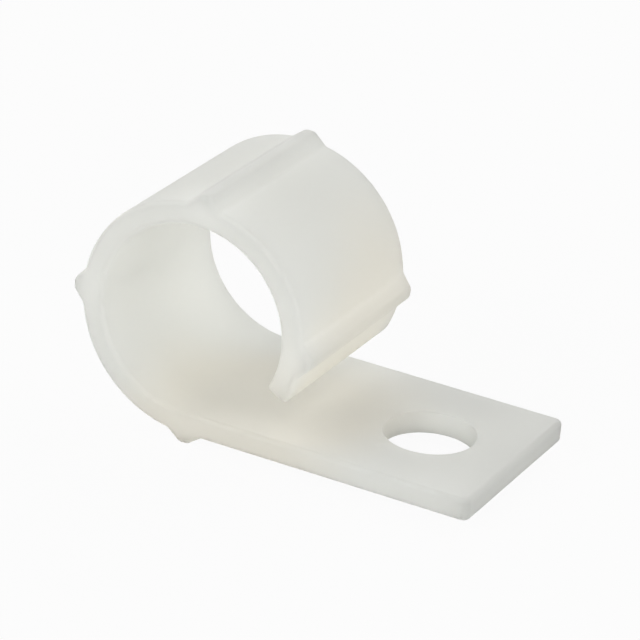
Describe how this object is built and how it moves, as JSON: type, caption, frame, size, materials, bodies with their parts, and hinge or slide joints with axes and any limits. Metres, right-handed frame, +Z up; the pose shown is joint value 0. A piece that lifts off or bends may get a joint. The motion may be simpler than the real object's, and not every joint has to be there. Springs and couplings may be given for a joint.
{
  "type": "p-type cable clamp",
  "caption": "Moulded nylon cable clamp: a flat tab with a screw hole, curled up into an open loop with low ribs across its outside.",
  "frame": {"origin": "centre of the screw hole, on the underside of the tab", "axes": "+X from the loop to the end of the tab, +Y along the cable, +Z up from the mounting face"},
  "size_m": [0.0261, 0.0126, 0.0156],
  "materials": {
    "nylon": "natural nylon, translucent off-white, satin"
  },
  "bodies": {
    "root": {"clamp": "nylon"}
  },
  "joints": []
}
